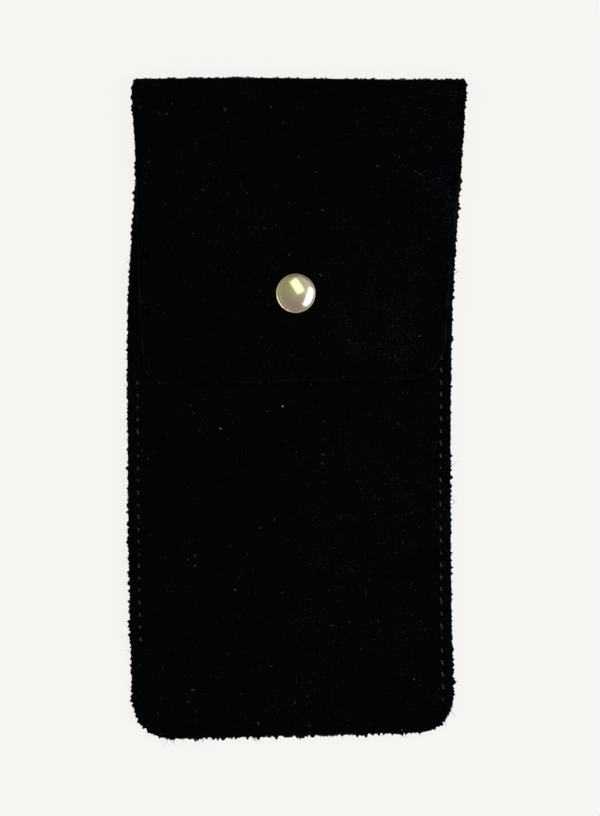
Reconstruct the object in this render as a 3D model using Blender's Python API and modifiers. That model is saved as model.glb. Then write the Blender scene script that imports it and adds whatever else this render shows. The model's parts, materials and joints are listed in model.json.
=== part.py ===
"""A soft suede glasses case: a flat pocket with a fold-over flap, closed by a ring-spring snap.

The case lies on its back panel. X runs across it, Y from the foot to the fold, and Z up.
The origin is in the middle of the box that the case fills, on the surface it lies on.
The back panel, the fold and the flap are one cut of suede, divided here where the fold starts to turn.
"""
import math

import bmesh
import bpy
from mathutils import Vector

MM = 0.001

# Suede
LEATHER = 1.2 * MM
GAP = 0.3 * MM
FOLD_END_Y = 82.5 * MM
FOLD_INNER_RADIUS = 1.0 * MM
FOLD_OUTER_RADIUS = FOLD_INNER_RADIUS + LEATHER
HINGE = Vector((0, FOLD_END_Y - FOLD_OUTER_RADIUS, FOLD_OUTER_RADIUS))
FOLD_LEFT_X = -41.3 * MM
FOLD_RIGHT_X = 42.25 * MM
MOUTH_Y = 61.0 * MM

# Side edges of the pocket, as (y, x) at the fold, the mouth, the hip, the middle and the foot
POCKET_LEFT = [(80.0, -41.3), (61.0, -40.25), (27.0, -42.1), (-8.0, -42.2), (-50.0, -41.7), (-75.0, -40.9)]
POCKET_RIGHT = [(80.0, 42.25), (61.0, 41.0), (27.0, 38.8), (-8.0, 38.3), (-50.0, 38.5), (-75.0, 39.0)]
POCKET_FOOT_LEFT = -82.5 * MM
POCKET_FOOT_RIGHT = -81.0 * MM
POCKET_CORNER_LEFT = 9.5 * MM
POCKET_CORNER_RIGHT = 9.0 * MM

# Side edges of the flap, which is cut a little narrower than the pocket
FLAP_LEFT = [(80.0, -41.3), (61.0, -40.25), (42.0, -39.75), (25.0, -39.25), (10.0, -38.2)]
FLAP_RIGHT = [(80.0, 42.25), (61.0, 40.9), (37.0, 38.4), (25.0, 37.6), (10.0, 36.4)]
FLAP_TIP_LEFT = 6.4 * MM
FLAP_TIP_RIGHT = 7.6 * MM
FLAP_CORNER_LEFT = 5.5 * MM
FLAP_CORNER_RIGHT = 8.5 * MM

# The bow of the front panel, from the flat seam flange to its full height along the middle
FLANGE = 4.5 * MM
BULGE = 7.0 * MM
BULGE_RUN = 50.0 * MM
FLAT_SHARE = 0.2
FRONT_SEAM_TOP = LEATHER + GAP + LEATHER
FRONT_TOP = FRONT_SEAM_TOP + BULGE
FLAP_CLEARANCE = 0.5 * MM
FLAP_START_Y = HINGE.y - GAP
FLAP_RISE_START_Y = 77.5 * MM
FLAP_RISE_END_Y = 61.5 * MM

# Seam
SEAM_INSET = 2.35 * MM
STITCH = 3.05 * MM
THREAD_RADIUS = 0.25 * MM
TRENCH_RADIUS = 0.42 * MM
BOBBIN_Z = 0.27 * MM
SEAM_END = 1.2 * MM

# Snap, 10 mm cap
SNAP = Vector((-0.3 * MM, 28.7 * MM, FRONT_TOP))
SNAP_STACK = 3.5 * MM
LIFT_FLAT = 6.5 * MM
LIFT_RUN = 15.0 * MM
POST_HOLE_RADIUS = 1.55 * MM
SHANK_HOLE_RADIUS = 1.4 * MM
CAP_TOP = 6.95
CAP_DOME_RISE = 1.25
CAP_DOME_RADIUS = 4.2
CAP_WALL = 0.35
SPRING_RADIUS = 2.3 * MM
SPRING_WIRE_RADIUS = 0.28 * MM
SPRING_Z = 1.3 * MM
SPRING_SPLIT = math.radians(28)

TURN_STEPS = 24
CORNER_SHARE = 0.25


# ---------------------------------------------------------------- set-up and small helpers

def clear_scene():
    for item in list(bpy.data.objects):
        bpy.data.objects.remove(item, do_unlink=True)


def new_collection(name):
    collection = bpy.data.collections.new(name)
    bpy.context.scene.collection.children.link(collection)
    return collection


def new_material(name, color, roughness, metallic=0.0):
    material = bpy.data.materials.new(name)
    material.use_nodes = True
    shader = material.node_tree.nodes["Principled BSDF"]
    shader.inputs["Base Color"].default_value = (*color, 1.0)
    shader.inputs["Roughness"].default_value = roughness
    shader.inputs["Metallic"].default_value = metallic
    return material


def new_object(name, data, collection, material=None):
    item = bpy.data.objects.new(name, data)
    collection.objects.link(item)
    if material:
        data.materials.append(material)
    return item


def smoothstep(value):
    value = min(max(value, 0.0), 1.0)
    return value * value * (3.0 - 2.0 * value)


def edge_x(stations, y):
    """x of a side edge at y, on a smooth curve through (y, x) stations in millimetres, fold first."""
    y = y / MM
    y = min(max(y, stations[-1][0]), stations[0][0])
    index = 0
    while index < len(stations) - 2 and y < stations[index + 1][0]:
        index += 1

    def slope(at):
        before = stations[max(at - 1, 0)]
        after = stations[min(at + 1, len(stations) - 1)]
        return (after[1] - before[1]) / (after[0] - before[0])

    (y0, x0), (y1, x1) = stations[index], stations[index + 1]
    span = y1 - y0
    t = (y - y0) / span
    x = (
        x0 * (1 + 2 * t) * (1 - t) ** 2
        + x1 * t * t * (3 - 2 * t)
        + slope(index) * span * t * (1 - t) ** 2
        - slope(index + 1) * span * t * t * (1 - t)
    )
    return x * MM


# ---------------------------------------------------------------- the shape of the suede

def side_point(stations, end_y, corner, inward, top_y, t):
    """A point on one side edge: t is 0 where the corner leaves the end edge and 1 at top_y."""
    if t < CORNER_SHARE:
        angle = t / CORNER_SHARE * math.pi / 2
        y = end_y + corner * (1 - math.cos(angle))
        inset = corner * (1 - math.sin(angle))
    else:
        y = end_y + corner + (top_y - end_y - corner) * (t - CORNER_SHARE) / (1 - CORNER_SHARE)
        inset = 0.0
    return Vector((edge_x(stations, y) + inward * inset, y))


def pocket_sides(top_y, t):
    left = side_point(POCKET_LEFT, POCKET_FOOT_LEFT, POCKET_CORNER_LEFT, 1, top_y, t)
    right = side_point(POCKET_RIGHT, POCKET_FOOT_RIGHT, POCKET_CORNER_RIGHT, -1, top_y, t)
    return left, right


def flap_sides(top_y, t):
    left = side_point(FLAP_LEFT, FLAP_TIP_LEFT, FLAP_CORNER_LEFT, 1, top_y, t)
    right = side_point(FLAP_RIGHT, FLAP_TIP_RIGHT, FLAP_CORNER_RIGHT, -1, top_y, t)
    return left, right


def bow_across(x, y):
    """How much of the bow the panel has at x: none on the seam flanges, all of it along the middle."""
    left = edge_x(POCKET_LEFT, y) + FLANGE
    right = edge_x(POCKET_RIGHT, y) - FLANGE
    q = (2 * x - left - right) / (right - left)
    return min(max((1 - q * q) / (1 - FLAT_SHARE ** 2), 0.0), 1.0)


def bow_along(y):
    """How much of the bow the panel has at y: none on the foot's flange, all of it from the middle up."""
    run = (y - POCKET_FOOT_LEFT - FLANGE) / BULGE_RUN
    run = min(max(run, 0.0), 1.0)
    return 1 - (1 - run) ** 2


def front_top_z(x, y):
    return FRONT_SEAM_TOP + BULGE * bow_across(x, y) * bow_along(y)


def flap_under_z(x, y):
    """The flap leaves the fold level, rises over the mouth, lies on the front and stands on the snap."""
    start_z = HINGE.z + FOLD_INNER_RADIUS
    rise = smoothstep((FLAP_RISE_START_Y - y) / (FLAP_RISE_START_Y - FLAP_RISE_END_Y))
    lift = SNAP_STACK - FLAP_CLEARANCE - (start_z - FRONT_SEAM_TOP - FLAP_CLEARANCE)
    reach = math.hypot(x - SNAP.x, y - SNAP.y)
    lift *= 1 - smoothstep((reach - LIFT_FLAT) / LIFT_RUN)
    return start_z + BULGE * bow_across(x, y) * rise + lift


def shaped_grid(name, columns, rows, shape, collection, material):
    """A grid whose points are placed by shape(u, v), with u across and v from the end edge to the top."""
    bpy.ops.mesh.primitive_grid_add(x_subdivisions=columns, y_subdivisions=rows, size=2)
    panel = bpy.context.object
    panel.name = name
    panel.data.name = name
    for owner in list(panel.users_collection):
        owner.objects.unlink(panel)
    collection.objects.link(panel)
    for vertex in panel.data.vertices:
        vertex.co = shape((vertex.co.x + 1) / 2, (vertex.co.y + 1) / 2)
    panel.data.materials.append(material)
    return panel


def add_thickness(panel, offset):
    solidify = panel.modifiers.new("thickness", "SOLIDIFY")
    solidify.thickness = LEATHER
    solidify.offset = offset
    solidify.use_even_offset = True


def cut(panel, cutter):
    boolean = panel.modifiers.new("cut_" + cutter.name, "BOOLEAN")
    boolean.operation = "DIFFERENCE"
    boolean.solver = "EXACT"
    boolean.object = cutter


def hide_cutter(cutter):
    cutter.hide_render = True
    cutter.display_type = "WIRE"


def as_mesh(curve, collection):
    """The curve as a closed mesh object that can be cut, or can cut."""
    bpy.context.view_layer.update()
    name = curve.name
    depsgraph = bpy.context.evaluated_depsgraph_get()
    mesh = bpy.data.meshes.new_from_object(curve.evaluated_get(depsgraph))
    work = bmesh.new()
    work.from_mesh(mesh)
    bmesh.ops.remove_doubles(work, verts=work.verts, dist=0.001 * MM)
    work.to_mesh(mesh)
    work.free()
    place = curve.matrix_world.copy()
    bpy.data.objects.remove(curve, do_unlink=True)
    solid = bpy.data.objects.new(name, mesh)
    solid.matrix_world = place
    collection.objects.link(solid)
    return solid


def curve_object(name, points, collection, material=None, closed=False, flat=False):
    curve = bpy.data.curves.new(name, "CURVE")
    curve.dimensions = "2D" if flat else "3D"
    spline = curve.splines.new("POLY")
    spline.points.add(len(points) - 1)
    for point, place in zip(spline.points, points):
        point.co = (*place, 1.0)
    spline.use_cyclic_u = closed
    return new_object(name, curve, collection, material)


# ---------------------------------------------------------------- panels

def pocket_outline(top_y, corner_steps=7, side_steps=12):
    """The pocket's edge from the top of the left side, round the foot, to the top of the right side."""
    stations = [step / corner_steps * CORNER_SHARE for step in range(corner_steps)]
    stations += [CORNER_SHARE + (1 - CORNER_SHARE) * step / side_steps for step in range(side_steps + 1)]
    left = [pocket_sides(top_y, t)[0] for t in reversed(stations)]
    right = [pocket_sides(top_y, t)[1] for t in stations]
    return left + right


def make_back_panel(collection, cutters, material):
    outline = [(*point, 0.0) for point in pocket_outline(HINGE.y - GAP)]
    panel = curve_object("back_panel", outline, collection, material, closed=True, flat=True)
    panel.data.fill_mode = "BOTH"
    panel.data.extrude = LEATHER / 2
    panel.location = (0, 0, LEATHER / 2)
    panel = as_mesh(panel, collection)
    cut(panel, make_trench("bobbin_trench", BOBBIN_Z, cutters))
    return panel


def make_front_panel(collection, cutters, material):
    def shape(u, v):
        left, right = pocket_sides(MOUTH_Y, v)
        place = left.lerp(right, u)
        return place.x, place.y, front_top_z(place.x, place.y)

    panel = shaped_grid("front_panel", 18, 24, shape, collection, material)
    add_thickness(panel, -1)
    cut(panel, make_trench("needle_trench", FRONT_SEAM_TOP, cutters))
    cut(panel, make_drill("post_hole", POST_HOLE_RADIUS, SNAP.z - LEATHER / 2, cutters))
    return panel


def make_flap(collection, cutters, material):
    def shape(u, v):
        left, right = flap_sides(FLAP_START_Y, v)
        place = left.lerp(right, u)
        return place.x, place.y, flap_under_z(place.x, place.y)

    panel = shaped_grid("flap", 18, 18, shape, collection, material)
    add_thickness(panel, 1)
    cut(panel, make_drill("shank_hole", SHANK_HOLE_RADIUS, SNAP.z + SNAP_STACK + LEATHER / 2, cutters))
    return panel


def make_flap_fold(collection, material):
    """The turn of the fold: a line along the hinge's inner side, swept half way round the hinge."""
    mesh = bpy.data.meshes.new("flap_fold")
    ends = [(FOLD_LEFT_X, 0, -FOLD_OUTER_RADIUS), (FOLD_RIGHT_X, 0, -FOLD_OUTER_RADIUS)]
    mesh.from_pydata(ends, [(0, 1)], [])
    fold = new_object("flap_fold", mesh, collection, material)
    fold.location = HINGE
    sweep = fold.modifiers.new("turn", "SCREW")
    sweep.axis = "X"
    sweep.angle = math.pi
    sweep.steps = 12
    sweep.render_steps = 12
    sweep.use_merge_vertices = False
    thickness = fold.modifiers.new("thickness", "SOLIDIFY")
    thickness.thickness = LEATHER
    thickness.offset = 1
    return fold


def make_drill(name, radius, z, cutters):
    bpy.ops.mesh.primitive_cylinder_add(
        vertices=TURN_STEPS, radius=radius, depth=3 * LEATHER, location=(SNAP.x, SNAP.y, z)
    )
    drill = bpy.context.object
    drill.name = name
    for owner in list(drill.users_collection):
        owner.objects.unlink(drill)
    cutters.objects.link(drill)
    hide_cutter(drill)
    return drill


# ---------------------------------------------------------------- seam

def resampled(points, count):
    """The same path with count equal steps."""
    lengths = [0.0]
    for before, after in zip(points, points[1:]):
        lengths.append(lengths[-1] + (after - before).length)
    places = []
    index = 0
    for step in range(count + 1):
        target = lengths[-1] * step / count
        while index < len(points) - 2 and lengths[index + 1] < target:
            index += 1
        share = (target - lengths[index]) / (lengths[index + 1] - lengths[index])
        places.append(points[index].lerp(points[index + 1], share))
    return places


def seam_path():
    """One place for each needle hole, set in from the pocket's edge, from mouth to mouth."""
    edge = pocket_outline(MOUTH_Y - SEAM_END, corner_steps=16, side_steps=40)
    inner = []
    for index, point in enumerate(edge):
        before = edge[max(index - 1, 0)]
        after = edge[min(index + 1, len(edge) - 1)]
        along = (after - before).normalized()
        inner.append(point + Vector((-along.y, along.x)) * SEAM_INSET)
    length = sum((after - before).length for before, after in zip(inner, inner[1:]))
    return resampled(inner, round(length / STITCH))


def strand(name, radius, z, rounds, collection, material=None, past_end=0.0):
    """A tube along the seam at height z, run past_end longer at both ends."""
    path = seam_path()
    path[0] = path[0] + (path[0] - path[1]).normalized() * past_end
    path[-1] = path[-1] + (path[-1] - path[-2]).normalized() * past_end
    item = curve_object(name, [(*point, z) for point in path], collection, material)
    item.data.bevel_depth = radius
    item.data.bevel_resolution = rounds
    item.data.use_fill_caps = True
    return item


def make_trench(name, z, cutters):
    """The line that the stitches press into the suede, cut right out at the mouth."""
    trench = as_mesh(strand(name, TRENCH_RADIUS, z, 1, cutters, past_end=0.6 * MM), cutters)
    hide_cutter(trench)
    return trench


# ---------------------------------------------------------------- snap

def turned(name, profile, closed, collection, material):
    """A turned piece on the snap's axis. profile holds (radius, height above the front panel) in mm."""
    mesh = bpy.data.meshes.new(name)
    points = [(radius * MM, 0, height * MM) for radius, height in profile]
    edges = [(index, index + 1) for index in range(len(points) - 1)]
    if closed:
        edges.append((len(points) - 1, 0))
    mesh.from_pydata(points, edges, [])
    piece = new_object(name, mesh, collection, material)
    piece.location = SNAP
    screw = piece.modifiers.new("turn", "SCREW")
    screw.steps = TURN_STEPS
    screw.render_steps = TURN_STEPS
    screw.use_merge_vertices = True
    screw.merge_threshold = 0.001 * MM
    screw.use_smooth_shade = True
    return piece


def make_snap_post(collection, material):
    profile = [
        (1.35, 1.95), (1.7, 1.9), (1.7, 1.8), (1.45, 1.5), (1.45, -1.25), (4.3, -1.25), (4.5, -1.35),
        (4.5, -1.55), (4.3, -1.65), (1.3, -1.65), (1.05, -1.45), (1.05, 1.5),
    ]
    return turned("snap_post", profile, True, collection, material)


def make_snap_stud(collection, material):
    profile = [
        (0, 2.6), (1.3, 2.55), (1.9, 2.35), (2.2, 1.95), (2.15, 1.7), (1.85, 1.45), (1.85, 0.75),
        (2.1, 0.5), (3.9, 0.45), (4.2, 0.3), (4.2, 0.05), (1.55, 0.05), (1.55, 1.5), (1.8, 1.75),
        (1.8, 2.0), (1.5, 2.2), (0, 2.25),
    ]
    return turned("snap_stud", profile, False, collection, material)


def make_snap_socket(collection, material):
    profile = [
        (1.3, 3.45), (4.5, 3.45), (4.7, 3.25), (4.7, 2.9), (4.3, 2.7), (3.4, 2.6), (3.1, 2.2),
        (3.1, 0.95), (2.9, 0.75), (2.35, 0.75), (2.35, 0.9), (2.75, 0.9), (2.75, 1.7), (2.45, 1.8),
        (2.45, 3.1), (1.3, 3.1),
    ]
    return turned("snap_socket", profile, True, collection, material)


def make_snap_cap_rivet(collection, material):
    profile = [
        (0, 5.6), (2.0, 5.55), (4.3, 5.28), (4.3, 5.08), (1.2, 5.08), (1.2, 3.03), (1.7, 2.93),
        (1.7, 2.8), (1.1, 2.85), (0.8, 3.1), (0.8, 5.2), (0, 5.25),
    ]
    return turned("snap_cap_rivet", profile, False, collection, material)


def make_snap_cap(collection, material):
    """A domed shell with a stepped rim that curls in under the rivet's flange."""
    sphere = (CAP_DOME_RADIUS ** 2 + CAP_DOME_RISE ** 2) / (2 * CAP_DOME_RISE)
    center = CAP_TOP - sphere
    inner_sphere = sphere - CAP_WALL
    steps = 5
    outer = []
    inner = []
    for step in range(steps + 1):
        radius = CAP_DOME_RADIUS * step / steps
        outer.append((radius, center + math.sqrt(sphere ** 2 - radius ** 2)))
        radius *= 0.94
        inner.append((radius, center + math.sqrt(inner_sphere ** 2 - radius ** 2)))
    rim = [
        (4.35, 5.6), (4.75, 5.55), (5.0, 5.3), (5.0, 4.95), (4.85, 4.75), (3.7, 4.75), (3.6, 4.88),
        (3.7, 5.01), (4.55, 5.05), (4.65, 5.22),
    ]
    return turned("snap_cap", outer + rim + inner[::-1], False, collection, material)


def make_ring_spring(collection, material):
    steps = 22
    points = []
    for step in range(steps + 1):
        angle = SPRING_SPLIT / 2 + (math.tau - SPRING_SPLIT) * step / steps
        points.append((SPRING_RADIUS * math.cos(angle), SPRING_RADIUS * math.sin(angle), SPRING_Z))
    spring = curve_object("snap_ring_spring", points, collection, material)
    spring.data.bevel_depth = SPRING_WIRE_RADIUS
    spring.data.bevel_resolution = 1
    spring.data.use_fill_caps = True
    spring.location = SNAP
    return spring


# ---------------------------------------------------------------- assembly

def hang_on_hinge(pieces, collection):
    """Parents the moving pieces to an empty on the fold's axis, and leaves them where they are."""
    hinge = bpy.data.objects.new("flap_hinge", None)
    collection.objects.link(hinge)
    hinge.location = HINGE
    bpy.context.view_layer.update()
    for piece in pieces:
        piece.parent = hinge
        piece.matrix_parent_inverse = hinge.matrix_world.inverted()


def build():
    clear_scene()
    case = new_collection("soft_glasses_case")
    cutters = new_collection("cutters")
    suede = {
        name: new_material(name + "_suede", (0.012, 0.013, 0.015), 0.95)
        for name in ("back_panel", "front_panel", "flap", "flap_fold")
    }
    make_back_panel(case, cutters, suede["back_panel"])
    make_front_panel(case, cutters, suede["front_panel"])
    make_flap_fold(case, suede["flap_fold"])
    strand("needle_thread", THREAD_RADIUS, FRONT_SEAM_TOP, 0, case,
           new_material("needle_thread_polyester", (0.02, 0.02, 0.022), 0.7))
    strand("bobbin_thread", THREAD_RADIUS, BOBBIN_Z, 0, case,
           new_material("bobbin_thread_polyester", (0.02, 0.02, 0.022), 0.7))
    make_snap_post(case, new_material("post_metal", (0.55, 0.50, 0.38), 0.3, 1.0))
    make_snap_stud(case, new_material("stud_metal", (0.62, 0.57, 0.43), 0.25, 1.0))
    moving = [
        make_flap(case, cutters, suede["flap"]),
        make_snap_cap(case, new_material("cap_metal", (0.68, 0.63, 0.47), 0.15, 1.0)),
        make_snap_cap_rivet(case, new_material("rivet_metal", (0.55, 0.50, 0.38), 0.35, 1.0)),
        make_snap_socket(case, new_material("socket_metal", (0.60, 0.55, 0.42), 0.3, 1.0)),
        make_ring_spring(case, new_material("spring_steel", (0.55, 0.55, 0.56), 0.3, 1.0)),
    ]
    hang_on_hinge(moving, case)
    for piece in case.objects:
        if piece.type == "MESH":
            piece.data.shade_smooth()
            piece.data.set_sharp_from_angle(angle=math.radians(35))


build()
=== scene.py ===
"""The looks of the soft glasses case: suede with a raised nap, a sunk lockstitch seam, a polished snap
and the fluff along the cut edges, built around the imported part.

Metres, in the part's own frame: X across, Y from the foot to the fold, Z up. MM marks a size that is
given in millimetres. Every soft mesh keeps its rest place in an attribute, which its material reads,
so that the pattern stays on the suede when the flap turns.
"""
import json
import math

import bpy
import numpy as np
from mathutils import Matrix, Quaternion, Vector, geometry, kdtree, noise


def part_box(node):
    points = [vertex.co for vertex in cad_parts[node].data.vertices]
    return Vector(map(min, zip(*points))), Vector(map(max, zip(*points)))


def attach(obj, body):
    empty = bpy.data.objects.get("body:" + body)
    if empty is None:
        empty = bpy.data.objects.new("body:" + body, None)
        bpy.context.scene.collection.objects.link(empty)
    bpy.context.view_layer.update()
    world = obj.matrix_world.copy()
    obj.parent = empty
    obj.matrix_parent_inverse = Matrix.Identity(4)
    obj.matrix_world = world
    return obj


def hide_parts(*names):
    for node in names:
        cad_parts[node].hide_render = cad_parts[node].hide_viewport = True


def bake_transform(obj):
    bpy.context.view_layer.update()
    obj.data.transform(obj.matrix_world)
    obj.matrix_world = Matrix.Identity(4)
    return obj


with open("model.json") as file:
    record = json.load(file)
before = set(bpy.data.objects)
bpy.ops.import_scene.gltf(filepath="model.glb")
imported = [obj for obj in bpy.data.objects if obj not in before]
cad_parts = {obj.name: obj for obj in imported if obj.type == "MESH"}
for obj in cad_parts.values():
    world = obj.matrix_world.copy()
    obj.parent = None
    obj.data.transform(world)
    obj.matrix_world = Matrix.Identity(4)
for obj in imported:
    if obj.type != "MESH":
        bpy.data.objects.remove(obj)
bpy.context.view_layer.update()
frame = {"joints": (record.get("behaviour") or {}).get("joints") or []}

MM = 0.001

# ---- sizes of the case

HINGE = Vector(frame["joints"][0]["pos_m"])
FOLD_OUTER = HINGE.z
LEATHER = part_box("back_panel")[1].z
HALF = LEATHER / 2
FOLD_MIDDLE = FOLD_OUTER - HALF
FRONT_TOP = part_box("front_panel")[1].z
FRONT_SEAM_TOP = 2.7 * MM
BULGE = FRONT_TOP - FRONT_SEAM_TOP
MOUTH_Y = 61.0 * MM

# Side edges as (y, x) in millimetres, from the fold towards the foot. A panel is its two sides, the y
# of its end edge at each side, and the radii of its corners.
POCKET_LEFT = [(80.0, -41.3), (61.0, -40.25), (27.0, -42.1), (-8.0, -42.2), (-50.0, -41.7), (-75.0, -40.9)]
POCKET_RIGHT = [(80.0, 42.25), (61.0, 41.0), (27.0, 38.8), (-8.0, 38.3), (-50.0, 38.5), (-75.0, 39.0)]
FOOT_Y = -82.5 * MM
POCKET = ((POCKET_LEFT, POCKET_RIGHT), (FOOT_Y, -81.0 * MM), (9.5 * MM, 9.0 * MM))
FLAP_LEFT = [(80.0, -41.3), (61.0, -40.25), (42.0, -39.75), (25.0, -39.25), (10.0, -38.2)]
FLAP_RIGHT = [(80.0, 42.25), (61.0, 40.9), (37.0, 38.4), (25.0, 37.6), (10.0, 36.4)]
FLAP = ((FLAP_LEFT, FLAP_RIGHT), (6.4 * MM, 7.6 * MM), (5.5 * MM, 8.5 * MM))

# The front panel's bow: the flat rim that the seam holds, how far up the pocket it takes to rise, and
# the share of the width that is flat on top
FLANGE = 4.5 * MM
BULGE_RUN = 50.0 * MM
FLAT_SHARE = 0.2
FLAP_RISE_START_Y = 77.5 * MM
FLAP_RISE_END_Y = 61.5 * MM

SNAP_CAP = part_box("snap_cap")
SNAP = Vector(((SNAP_CAP[0].x + SNAP_CAP[1].x) / 2, (SNAP_CAP[0].y + SNAP_CAP[1].y) / 2, FRONT_TOP))
SNAP_STACK = 3.5 * MM
FLAP_CLEARANCE = 0.5 * MM
# The flap is lifted to its full height this far round the snap, and comes down over this run
LIFT_FLAT = 6.5 * MM
LIFT_RUN = 15.0 * MM
POST_HOLE = 1.55 * MM
SHANK_HOLE = 1.3 * MM

# The seam: how far in from the edge it runs, below the mouth it ends, and from its line it dents the
# suede, the length of a stitch, the thread's radius, how deep the strands lock, and the lay and relief
# of the thread's plies
SEAM_INSET = 2.35 * MM
SEAM_END = 1.2 * MM
SEAM_REACH = 2.6 * MM
STITCH = 3.05 * MM
THREAD = 0.25 * MM
LOCK_DEPTH = 1.15 * MM
PLY_LAY = 1.1 * MM
PLY_RELIEF = 0.14

# The fold's ends are drawn in by this much, left and right, over this length of the edge
FOLD_DRAWN_IN = (0.8 * MM, 0.25 * MM)
FOLD_DRAWN_REACH = 1.9 * MM

# Spacing of the sheets' points: along a side before it is resampled, along the outline, the insets of
# the rows inside it, in the middle, and round a hole
SIDE_STEP = 1.0 * MM
OUTLINE_STEP = 0.32 * MM
ROW_INSETS = [0.25, 0.55, 0.9, 1.25, 1.6, 1.95, 2.3, 2.65, 3.0, 3.4, 3.9, 4.6]
INNER_STEP = 1.5 * MM
HOLE_SIDES = 48
HOLE_RINGS = [0, 0.3, 0.8, 1.6]
HOLE_CLEARANCE = 2.4 * MM


# ---- shape of the case

def smoothstep(value):
    value = np.clip(value, 0.0, 1.0)
    return value * value * (3.0 - 2.0 * value)


def unit(vectors):
    return vectors / np.linalg.norm(vectors, axis=1)[:, None]


def edge_x(stations, y):
    """x of a side edge at each y, on a smooth curve through (y, x) stations in millimetres."""
    points = np.array(stations[::-1], float)
    ys, xs = points[:, 0], points[:, 1]
    before, after = np.maximum(np.arange(len(ys)) - 1, 0), np.minimum(np.arange(len(ys)) + 1, len(ys) - 1)
    slopes = (xs[after] - xs[before]) / (ys[after] - ys[before])
    y = np.clip(np.asarray(y, float) / MM, ys[0], ys[-1])
    index = np.clip(np.searchsorted(ys, y, side="right") - 1, 0, len(ys) - 2)
    span = ys[index + 1] - ys[index]
    t = (y - ys[index]) / span
    x = (
        xs[index] * (1 + 2 * t) * (1 - t) ** 2
        + xs[index + 1] * t * t * (3 - 2 * t)
        + slopes[index] * span * t * (1 - t) ** 2
        - slopes[index + 1] * span * t * t * (1 - t)
    )
    return x * MM


def bow_across(x, y):
    left = edge_x(POCKET_LEFT, y) + FLANGE
    right = edge_x(POCKET_RIGHT, y) - FLANGE
    q = (2 * x - left - right) / (right - left)
    return np.clip((1 - q * q) / (1 - FLAT_SHARE ** 2), 0.0, 1.0)


def bow_along(y):
    run = np.clip((y - FOOT_Y - FLANGE) / BULGE_RUN, 0.0, 1.0)
    return 1 - (1 - run) ** 2


def soft_noise(points, size, seed):
    """Smooth noise from -1 to 1 with features of about size metres, at each row of points."""
    offset = Vector((seed * 17.31, seed * 5.77, seed * 2.93))
    return np.array([noise.noise(Vector(p) / size + offset) for p in points])


def front_middle(x, y):
    """z of the middle of the front panel's thickness."""
    return FRONT_SEAM_TOP - HALF + BULGE * bow_across(x, y) * bow_along(y)


def from_snap(x, y):
    return np.hypot(x - SNAP.x, y - SNAP.y)


def flap_middle(x, y):
    """z of the middle of the flap's thickness: level at the fold, over the mouth, up to the snap."""
    start = HINGE.z + FOLD_MIDDLE
    rise = smoothstep((FLAP_RISE_START_Y - y) / (FLAP_RISE_START_Y - FLAP_RISE_END_Y))
    lift = (SNAP_STACK - FLAP_CLEARANCE) * (1 - smoothstep((from_snap(x, y) - LIFT_FLAT) / LIFT_RUN))
    return start + BULGE * bow_across(x, y) * rise + lift


# ---- flat patterns

def panel_side(panel, index, top_y):
    """A panel's left side for index 0 or right side for 1, from its end edge, round the corner, up to
    top_y."""
    stations, end_y, corner = (values[index] for values in panel)
    inward = (1, -1)[index]
    angles = np.linspace(0, math.pi / 2, 24)
    ys = end_y + corner * (1 - np.cos(angles))
    xs = edge_x(stations, ys) + inward * corner * (1 - np.sin(angles))
    upper = np.append(np.arange(end_y + corner + SIDE_STEP, top_y, SIDE_STEP), top_y)
    return np.column_stack([np.append(xs, edge_x(stations, upper)), np.append(ys, upper)])


def resampled(points, step, closed=False):
    """The same line with equal steps of about the given length."""
    line = np.vstack([points, points[:1]]) if closed else points
    lengths = np.append(0, np.cumsum(np.hypot(*np.diff(line, axis=0).T)))
    count = round(lengths[-1] / step)
    stations = np.linspace(0, lengths[-1], count + 1)
    if closed:
        stations = stations[:-1]
    return np.column_stack([np.interp(stations, lengths, line[:, axis]) for axis in (0, 1)])


def inward_normals(points, closed=True):
    """Unit normals to the left of a line that runs anticlockwise, so into the panel."""
    if closed:
        along = np.roll(points, -1, axis=0) - np.roll(points, 1, axis=0)
    else:
        along = np.gradient(points, axis=0)
    along /= np.hypot(*along.T)[:, None]
    return np.column_stack([-along[:, 1], along[:, 0]])


FOLD_S = HINGE.y - FOOT_Y
FOLD_LENGTH = math.pi * FOLD_MIDDLE


def wrap_outline():
    """The one cut of back, fold and flap laid out flat, as (x, s), where s runs up the back, round the
    fold and down the flap."""
    def laid(side):
        return np.column_stack([side[:, 0], FOLD_S + FOLD_LENGTH + HINGE.y - side[:, 1]])

    def upright(side):
        return np.column_stack([side[:, 0], side[:, 1] - FOOT_Y])

    pocket = [upright(panel_side(POCKET, index, HINGE.y)) for index in (0, 1)]
    flap = [laid(panel_side(FLAP, index, HINGE.y)) for index in (0, 1)]
    around = np.vstack([pocket[1], flap[1][::-1], flap[0], pocket[0][::-1]])
    outline = resampled(around, OUTLINE_STEP, closed=True)
    on_fold = np.exp(-((outline[:, 1] - FOLD_S - FOLD_LENGTH / 2) / FOLD_DRAWN_REACH) ** 2)
    outline[:, 0] += np.where(outline[:, 0] < 0, FOLD_DRAWN_IN[0], -FOLD_DRAWN_IN[1]) * on_fold
    return outline


def front_outline():
    left, right = (panel_side(POCKET, index, MOUTH_Y) for index in (0, 1))
    return resampled(np.vstack([right, left[::-1]]), OUTLINE_STEP, closed=True)


def inside(points, outline):
    """Which of the points lie inside a closed outline."""
    x, y = points.T[:, :, None]
    x0, y0 = outline.T[:, None]
    x1, y1 = np.roll(outline, -1, axis=0).T[:, None]
    crosses = ((y0 > y) != (y1 > y)) & (x < (x1 - x0) * (y - y0) / (y1 - y0 + 1e-30) + x0)
    return crosses.sum(axis=1) % 2 == 1


def tree_of(points):
    tree = kdtree.KDTree(len(points))
    for index, point in enumerate(points):
        tree.insert((point[0], point[1], 0), index)
    tree.balance()
    return tree


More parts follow.
